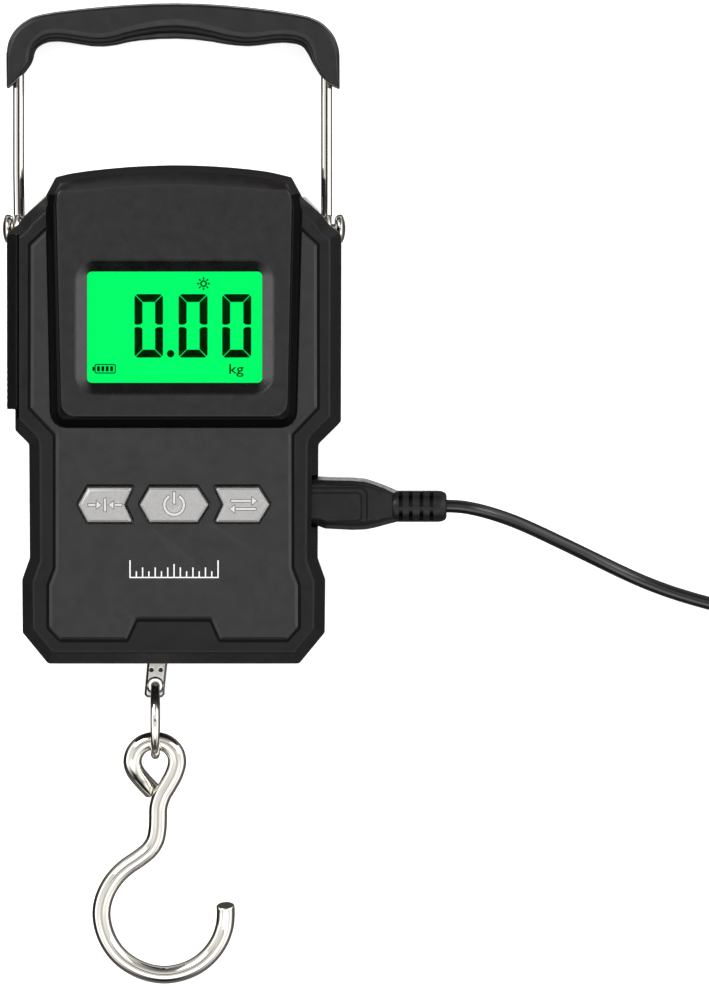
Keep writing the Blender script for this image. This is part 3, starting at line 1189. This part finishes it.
def handle_line(foot):
    y0 = PIVOT_Y
    line = [(EYE_L if foot < 12 else WIRE_L, y0 + foot), (WIRE_L, y0 + 12), (WIRE_L, y0 + 24), (WIRE_L, UP - 6.4)]
    line += arc(WIRE_L + 5.2, UP - 5.2, 5.2, 180, 90, 10)
    line += [(-18, UP), (0, UP), (18, UP)]
    line += arc(WIRE_RIGHT - 5.2, UP - 5.2, 5.2, 90, 0, 10)
    line += [(WIRE_RIGHT, UP - 6.4), (WIRE_RIGHT, y0 + 24), (WIRE_RIGHT, y0 + 12), (WIRE_RIGHT, y0 + foot)]
    return [(x, y, LOAD_Z) for x, y in line]


bail = tube("bail", handle_line(2.1), 1.17, 32, 0.45)
for x in (EYE_L, WIRE_RIGHT):
    bail = join(bail, lathe_ring("tool", circle(2.16, 0, 1.08, 24), 48, along_x(x, PIVOT_Y, LOAD_Z)))
piece(bail, "handle_wire", "handle", chrome, ["bail_wire"], 40)

# Grip: soft outline, a rolled ridge over the finger waves, a hollowed underside
LOWER = range(5, 31)


def lower_share(i):
    """How far the ridge stands back from the grip's lower edge, in millimetres."""
    x, y = GRIP[i]
    if i in LOWER:
        ends = min(1.0, (30.5 - abs(x)) / 4.0)
        wave = 1.85 + 1.5 * math.exp(-((x / 9.0) ** 2))
        return 0.8 + (wave - 0.8) * max(0.0, ends)
    if i < 5 or 30 < i < 35:
        return 0.6
    return 0.5


GRIP_R = []
for i in range(len(GRIP)):
    GRIP_R.append(0.25 if i in (0, 34) else 8.0)
share = [lower_share(i) for i in range(len(GRIP))]
# the pointed ends are too narrow to pull in as far as the rest
tight = [1.0] * len(GRIP)
for i, k in ((0, 0.2), (1, 0.25), (2, 0.4), (3, 0.7), (31, 0.7), (32, 0.4), (33, 0.25), (34, 0.2), (35, 0.8), (56, 0.7)):
    tight[i] = k


def grip_level(f, extra, z):
    """Outline pulled in by a share f of each point's own ridge distance, and extra."""
    pull = [(f * s + extra) * k for s, k in zip(share, tight)]
    moved = grow(GRIP, [-v for v in pull])
    return [(x, y, z) for x, y in soften(moved, GRIP_R, 3)]


levels = [
    (0.0, 0.25, 8.76), (0.0, 0.0, 8.98), (0.0, 0.0, 10.4), (0.03, 0.0, 10.72), (0.09, 0.0, 10.88), (0.2, 0.0, 10.98),
    (0.31, 0.0, 11.08), (0.39, 0.0, 11.35), (0.44, 0.0, 12.2), (0.49, 0.0, 13.6), (0.56, 0.0, 15.1), (0.63, 0.0, 15.95),
    (0.7, 0.0, 16.3), (0.77, 0.0, 16.5), (0.83, 0.0, 16.61), (0.89, 0.12, 16.72), (0.95, 0.24, 16.82), (1.0, 0.36, 16.91),
    (1.0, 0.5, 16.97), (1.0, 0.75, 17.0), (1.0, 1.25, 16.97),
]
grip_front = loft("grip_front", [grip_level(f, e, z) for f, e, z in levels])
grip_front = cut(grip_front, tube("tool", handle_line(20), WIRE_R + 0.35, 20))
piece(grip_front, "grip_front_shell", "handle", grip_grey, ["grip_front"], 38)
share = [0.6] * len(GRIP)
levels = [
    (0.0, 1.7, 0.2), (0.0, 1.25, 0.22), (0.0, 0.75, 0.42), (0.0, 0.38, 0.85), (0.0, 0.12, 1.5), (0.0, 0.0, 2.4),
    (0.0, 0.0, 8.2), (0.0, 0.25, 8.44),
]
grip_rear = loft("grip_rear", [grip_level(f, e, z) for f, e, z in levels])
grip_rear = cut(grip_rear, tube("tool", handle_line(20), WIRE_R + 0.35, 20))
piece(grip_rear, "grip_rear_shell", "handle", grip_grey, ["grip_rear"], 38)

# ------------------------------------------------------------------ tape
# Pull tab: a long bar with soft edges and a ribbed thumb end
TAB = [(-32.52, 9.1), (-32.52, 24.85), (-35.0, 19.3), (-35.0, 9.1)]
tab_section = soften([(x, z) for x, z in TAB], [0.25, 0.35, 0.6, 0.5], 4)


def tab_ring(y, inset):
    return [(x, y, z) for x, z in soften(grow(TAB, -inset), [0.25, 0.35, 0.6, 0.5], 4)]


tab = loft("tab", [tab_ring(17.8, 0.3), tab_ring(17.9, 0.1), tab_ring(18.15, 0.0), tab_ring(53.85, 0.0), tab_ring(54.1, 0.1), tab_ring(54.2, 0.3)])
tab = cut(tab, block(-40, -30, 52.2, 60, 0, 12.2))
for k in range(6):
    y = 19.6 + 1.3 * k
    tab = cut(tab, rod(0.34, 9.6, 22, at(-35.14, y, 0), 16))
piece(tab, "tape_pull_tab", "tape", tab_black, ["tape_tab"])

# Blade: a thin cupped ribbon with printed marks on its outer face
blade_rows = []
for i in range(9):
    v = -1 + i / 4
    blade_rows.append((TAPE_Y + 0.02 + 0.12 * (1 - v * v), (TAPE_Z[0] + TAPE_Z[1]) / 2 + 2.5 * v))
section = blade_rows + [(y + 0.13, z) for y, z in reversed(blade_rows)]
blade = loft("blade", [[(x, y, z) for y, z in section] for x in (-32.4, -24, -16, -8, DRUM[0])])
piece(blade, "tape_blade_strip", "tape", tape_mat, ["tape_blade"], 40)
marks = []
for k in range(33):
    x = -31.6 + k
    h = 2.4 if k % 10 == 0 else (1.7 if k % 5 == 0 else 1.0)
    z0 = TAPE_Z[0] + 0.15
    rows = []
    for j in range(4):
        z = z0 + h * j / 3
        v = (z - (TAPE_Z[0] + TAPE_Z[1]) / 2) / 2.5
        rows.append((TAPE_Y + 0.02 + 0.12 * (1 - v * v) + 0.13, z))
    sec = [(y - 0.02, z) for y, z in rows] + [(y + 0.012, z) for y, z in reversed(rows)]
    marks.append(loft("tool", [[(xx, y, z) for y, z in sec] for xx in (x - 0.09, x + 0.09)]))
piece(merge("marks", marks), "tape_blade_marks", "tape", black_ink, (), 40)

# ------------------------------------------------------------------ charging lead
plug_side = profile(
    [(1.6, USB_Z - 3.8), (0.7, USB_Z - 3.8), (0.0, USB_Z - 2.9), (0.0, USB_Z - 1.6), (0.78, USB_Z + 2.5),
     (1.35, USB_Z + 3.4), (1.9, USB_Z + 3.8), (2.6, USB_Z + 3.8)],
    [0, 0.8, 0.8, 0.5, 0.4, 0.5, 0.5, 0], 4,
)
plug = slab("plug", PLUG, [0.3, 0.8, 1.2, 6, 6, 6, 6, 0.3, 0.3, 6, 6, 6, 6, 6, 3, 0.3], plug_side, 4)
plug = cut(plug, block(20, 28.4, -12, 10, 0, 40))
for s in (-1, 1):
    # the neck thins down to the strain relief
    roof = [(40.8, USB_Z + s * 3.82), (43.0, USB_Z + s * 3.66), (48.0, USB_Z + s * 3.02), (48.0, USB_Z + s * 8), (40.8, USB_Z + s * 8)]
    plug = cut(plug, loft("tool", [[(x, y, z) for x, z in roof] for y in (-12, 10)]))
# plain framed field on the face: two moulded lines with round corners
for x1, y0, y1, r in ((40.55, -6.8, 1.16, 1.5), (39.4, -5.75, 0.08, 0.8)):
    rim = slab("tool", rectangle(26.0, x1, y0, y1), r, [(-0.19, USB_Z + 4.5), (-0.19, USB_Z + 3.8), (-0.1, USB_Z + 3.5)][::-1], 6)
    rim = cut(rim, slab("tool", rectangle(26.0, x1, y0, y1), r, [(0.1, USB_Z + 3.4), (0.1, USB_Z + 3.5), (0.19, USB_Z + 3.8), (0.19, USB_Z + 5)], 6))
    plug = cut(plug, rim)
# the parting line, along the upper edge
plug = cut(plug, stroke([(27.0, 2.72), (34.8, 2.55), (37.5, 2.5), (40.3, 2.26), (42.5, 1.58), (44.6, 0.8)], 0.34, USB_Z + 2.0, USB_Z + 5))
boot = [(0, 42.2), (1.9, 42.2), (2.9, 45.4), (3.14, 46.3), (3.32, 47.1), (3.32, 55.4), (3.24, 56.2), (2.95, 56.9), (2.5, 57.25), (2.05, 57.3), (1.75, 56.9), (0, 56.9)]
plug = join(plug, lathe("tool", boot, 48, along_x(0, -2.66, USB_Z)))
plug = cut(plug, rod(CORD_R + 0.03, 55.9, 60, along_x(0, -2.61, USB_Z), 32))
for x in (47.25, 49.35, 51.6, 53.7):
    groove = lathe_ring("tool", [(2.1, x), (5, x), (5, x + 0.8), (2.1, x + 0.8)], 48, along_x(0, -2.66, USB_Z))
    # a bridge is left standing at the front, at the back and along both sides
    for y0, y1, z0, z1 in ((-3.3, -2.78, -6, 6), (-9.0, -5.6, -6, 6), (0.3, 4.0, -6, 6), (-9.0, 4.0, -1.5, -0.6)):
        groove = cut(groove, block(x - 1, x + 2, y0, y1, USB_Z + z0, USB_Z + z1))
    plug = cut(plug, groove)
piece(plug, "small_plug_body", "charging_lead", lead_black, ["micro_plug"])
contact = soft_block(23.0, 28.4, USB_Y - 3.35, USB_Y + 3.35, USB_Z - 0.85, USB_Z + 0.85, 0.15, 0.25)
contact = cut(contact, block(22, 27.2, USB_Y - 3.05, USB_Y + 3.05, USB_Z - 0.25, USB_Z + 0.6))
for y in (USB_Y - 1.9, USB_Y + 1.9):
    contact = cut(contact, block(24.2, 25.2, y - 0.35, y + 0.35, USB_Z - 2, USB_Z - 0.2))
piece(contact, "small_plug_contact", "charging_lead", steel, ["micro_plug_contact"])

# Tie round the coil
coil_in, coil_out = COIL_MID - 4.2, COIL_MID + 4.2
tie = soft_block(COIL_X - coil_out - 0.7, COIL_X - coil_in + 0.7, COIL_Y - 2, COIL_Y + 2, 0.02, 6.45, 0.3, 0.3)
tie_hole = loft("tool", [[(x, y, z) for x, z in soften(rectangle(COIL_X - coil_out - 0.12, COIL_X - coil_in + 0.12, 0.25, 5.98), 1.0, 4)] for y in (COIL_Y - 5, COIL_Y + 5)])
tie = cut(tie, tie_hole)
piece(tie, "coil_tie", "charging_lead", lead_black, ["cord_tie"])

# Large plug
UX, UY = COIL_X + COIL_MID + 2.8, COIL_Y - 24.0
outline = [(-7.6, -24.5), (7.6, -24.5), (7.6, -10.2), (6.2, -8.0), (-6.2, -8.0), (-7.6, -10.2)]
outline = [(x + UX, y + UY) for x, y in outline]
s = profile([(1.4, 0.05), (0.8, 0.05), (0.0, 0.9), (0.0, 7.4), (0.8, 8.25), (1.6, 8.25)], [0, 0.6, 0.7, 0.7, 0.6, 0], 3)
usb = slab("usb", outline, [1.0, 1.0, 1.0, 1.2, 1.2, 1.0], s, 4)
usb = join(usb, lathe("tool", [(0, -9.5), (3.2, -9.5), (3.2, -1.0), (2.9, -0.2), (2.4, 0), (0, 0)], 40, along_y(UX, UY, 4.15)))
for k in range(3):
    y = -7.4 + 2.1 * k
    groove = lathe_ring("tool", [(2.3, y), (5, y), (5, y + 0.8), (2.3, y + 0.8)], 40, along_y(UX, UY, 4.15))
    groove = cut(groove, block(UX - 0.42, UX + 0.42, UY - 12, UY + 2, -2, 12))
    usb = cut(usb, groove)
for k in range(5):
    y = UY - 21.5 + 2.1 * k
    usb = cut(usb, slab("tool", rectangle(UX - 4.2, UX + 4.2, y, y + 0.9), 0.4, profile([(0.2, 7.95), (0, 8.1), (-0.2, 8.3), (-0.3, 9)], [0, 0, 0, 0], 2), 3))
piece(usb, "large_plug_body", "charging_lead", lead_black, ["usb_plug"])
shell = soft_block(UX - 6.0, UX + 6.0, UY - 36.8, UY - 24.8, 1.9, 6.4, 0.3, 0.35)
shell = cut(shell, block(UX - 5.65, UX + 5.65, UY - 40, UY - 25.6, 2.25, 6.05))
for x in (-3.0, 3.0):
    shell = cut(shell, block(UX + x - 1.1, UX + x + 1.1, UY - 31.2, UY - 29.0, 5.9, 8), block(UX + x - 1.1, UX + x + 1.1, UY - 31.2, UY - 29.0, 0, 2.4))
piece(shell, "large_plug_shell", "charging_lead", steel, ["usb_plug_shell"])

# ------------------------------------------------------------------ CAD nodes that stay
STAYING = {
    "lcd_backlight": diffuser, "zebra_connector": silicone, "main_pcb": board_green, "usb_socket": steel,
    "battery": battery_foil, "keypad_mat": silicone, "load_cell": cell_aluminium, "load_cell_pin": steel,
    "strap_pin": steel, "tape_drum": tape_mat, "tape_spring": spring_steel, "tape_axle": steel,
    "usb_plug_tongue": gasket_black,
}
for i in range(4):
    STAYING["board_screw_%d" % (i + 1)] = steel
for name, material in STAYING.items():
    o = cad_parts[name]
    if not o.material_slots:
        o.data.materials.append(material)
    for s in o.material_slots:
        s.material = material

# ------------------------------------------------------------------ stage
floor_mesh = bpy.data.meshes.new("floor")
H = 12.0
floor_mesh.from_pydata([(-H, -H, -0.0004), (H, -H, -0.0004), (H, H, -0.0004), (-H, H, -0.0004)], [], [(0, 1, 2, 3)])
floor = bpy.data.objects.new("floor", floor_mesh)
ROOT.objects.link(floor)
fm = bpy.data.materials.new("floor")
fm.use_nodes = True
nt = fm.node_tree
bsdf = nt.nodes["Principled BSDF"]
bsdf.inputs["Base Color"].default_value = (0.8, 0.8, 0.8, 1)
bsdf.inputs["Roughness"].default_value = 0.9
bsdf.inputs["Specular IOR Level"].default_value = 0.0
bsdf.inputs["Emission Color"].default_value = (1, 1, 1, 1)
bsdf.inputs["Emission Strength"].default_value = 0.7
geo = nt.nodes.new("ShaderNodeNewGeometry")
clear = nt.nodes.new("ShaderNodeBsdfTransparent")
both = nt.nodes.new("ShaderNodeMixShader")
nt.links.new(geo.outputs["Backfacing"], both.inputs["Fac"])
nt.links.new(bsdf.outputs["BSDF"], both.inputs[1])
nt.links.new(clear.outputs["BSDF"], both.inputs[2])
nt.links.new(both.outputs["Shader"], nt.nodes["Material Output"].inputs["Surface"])
floor_mesh.materials.append(fm)
floor.visible_glossy = False

# Studio: an even dome for soft light, and a banded room for what metal mirrors
world = bpy.data.worlds.new("studio")
SCENE.world = world
world.use_nodes = True
wt = world.node_tree
for n in list(wt.nodes):
    wt.nodes.remove(n)
out = wt.nodes.new("ShaderNodeOutputWorld")
dome = wt.nodes.new("ShaderNodeBackground")
dome.inputs["Color"].default_value = (1, 1, 1, 1)
dome.inputs["Strength"].default_value = 0.92
room = wt.nodes.new("ShaderNodeBackground")
coord = wt.nodes.new("ShaderNodeTexCoord")
split = wt.nodes.new("ShaderNodeSeparateXYZ")
wt.links.new(coord.outputs["Generated"], split.inputs["Vector"])


def world_ramp(source, low, high, stops):
    m = wt.nodes.new("ShaderNodeMapRange")
    m.inputs["From Min"].default_value = low
    m.inputs["From Max"].default_value = high
    wt.links.new(source, m.inputs["Value"])
    r = wt.nodes.new("ShaderNodeValToRGB")
    e = r.color_ramp.elements
    while len(e) > 1:
        e.remove(e[-1])
    e[0].position, e[0].color = stops[0][0], (stops[0][1],) * 3 + (1,)
    for pos, v in stops[1:]:
        x = e.new(pos)
        x.color = (v, v, v, 1)
    wt.links.new(m.outputs["Result"], r.inputs["Fac"])
    return r.outputs["Color"]


# by height above the horizon, towards each side of the room, as a share of BRIGHT
BRIGHT = 3.0


def wall(stops):
    return world_ramp(split.outputs["Z"], -1, 1, [((z + 1) / 2, v / BRIGHT) for z, v in stops])


left = wall([(-1.0, 0.5), (-0.95, 0.3), (-0.88, 0.02), (-0.05, 0.03), (0.03, 0.4), (0.1, 2.3), (0.4, 2.6), (0.5, 1.1), (1.0, 1.1)])
right = wall([(-1.0, 0.12), (-0.9, 0.06), (-0.5, 0.12), (-0.12, 0.22), (-0.03, 0.6), (0.05, 2.2), (0.4, 2.4), (0.5, 1.1), (1.0, 1.1)])
top = wall([(-1.0, 0.06), (-0.985, 0.1), (-0.965, 3.0), (-0.885, 3.0), (-0.85, 0.08), (-0.48, 0.08), (-0.4, 0.7), (-0.05, 0.7), (0.06, 0.15), (0.14, 0.08), (0.52, 0.1), (0.66, 0.2), (0.86, 0.42), (0.95, 0.95), (1.0, 1.1)])
bottom = wall([(-1.0, 0.9), (-0.992, 0.8), (-0.98, 0.14), (-0.8, 0.2), (-0.6, 0.22), (-0.3, 0.16), (0.14, 0.0), (0.45, 0.0), (0.52, 0.9), (0.62, 2.3), (0.8, 2.6), (0.9, 2.2), (0.945, 0.75), (0.98, 0.75), (0.992, 1.1), (1.0, 1.1)])


def maths(kind, a, b=None):
    n = wt.nodes.new("ShaderNodeMath")
    n.operation = kind
    for sock, v in zip(n.inputs, (a, b)):
        if v is None:
            continue
        if isinstance(v, (int, float)):
            sock.default_value = v
        else:
            wt.links.new(v, sock)
    return n.outputs[0]


def mix_walls(fac, a, b):
    n = wt.nodes.new("ShaderNodeMix")
    n.data_type = "RGBA"
    wt.links.new(fac, n.inputs[0])
    wt.links.new(a, n.inputs[6])
    wt.links.new(b, n.inputs[7])
    return n.outputs[2]


dx, dy = split.outputs["X"], split.outputs["Y"]
xx, yy = maths("MULTIPLY", dx, dx), maths("MULTIPLY", dy, dy)
share_x = maths("DIVIDE", xx, maths("ADD", maths("ADD", xx, yy), 0.00001))
side_x = mix_walls(maths("GREATER_THAN", dx, 0.0), left, right)
side_y = mix_walls(maths("GREATER_THAN", dy, 0.0), bottom, top)
around = mix_walls(share_x, side_y, side_x)
# a dark slot in the ceiling, across the handle: the thin black line along its wires
away = maths("ADD", maths("ADD", maths("DIVIDE", xx, 0.185), maths("DIVIDE", yy, 0.007)), maths("SUBTRACT", 1.0, split.outputs["Z"]))
slot = wt.nodes.new("ShaderNodeMapRange")
slot.interpolation_type = "SMOOTHSTEP"
slot.inputs["From Min"].default_value = 0.45
slot.inputs["From Max"].default_value = 1.3
wt.links.new(away, slot.inputs["Value"])
dark = wt.nodes.new("ShaderNodeMix")
dark.data_type = "RGBA"
dark.inputs[6].default_value = (0.015, 0.015, 0.015, 1)
wt.links.new(slot.outputs["Result"], dark.inputs[0])
wt.links.new(around, dark.inputs[7])
wt.links.new(dark.outputs[2], room.inputs["Color"])
room.inputs["Strength"].default_value = BRIGHT
path = wt.nodes.new("ShaderNodeLightPath")
choose = wt.nodes.new("ShaderNodeMixShader")
wt.links.new(path.outputs["Is Glossy Ray"], choose.inputs["Fac"])
wt.links.new(dome.outputs["Background"], choose.inputs[1])
wt.links.new(room.outputs["Background"], choose.inputs[2])
wt.links.new(choose.outputs["Shader"], out.inputs["Surface"])


def lamp(name, where, target, size, power, glossy=True):
    d = bpy.data.lights.new(name, "AREA")
    d.shape = "RECTANGLE"
    d.size, d.size_y = size
    d.energy = power
    o = bpy.data.objects.new(name, d)
    ROOT.objects.link(o)
    o.location = where
    o.rotation_euler = (Vector(target) - Vector(where)).to_track_quat("-Z", "Y").to_euler()
    o.visible_camera = False
    o.visible_glossy = glossy
    return o


lamp("key", (-0.9, 0.9, 1.3), (0, 0, 0), (0.9, 0.9), 16.0)
lamp("fill", (1.0, 0.4, 1.1), (0, 0, 0), (0.7, 0.7), 5.0)
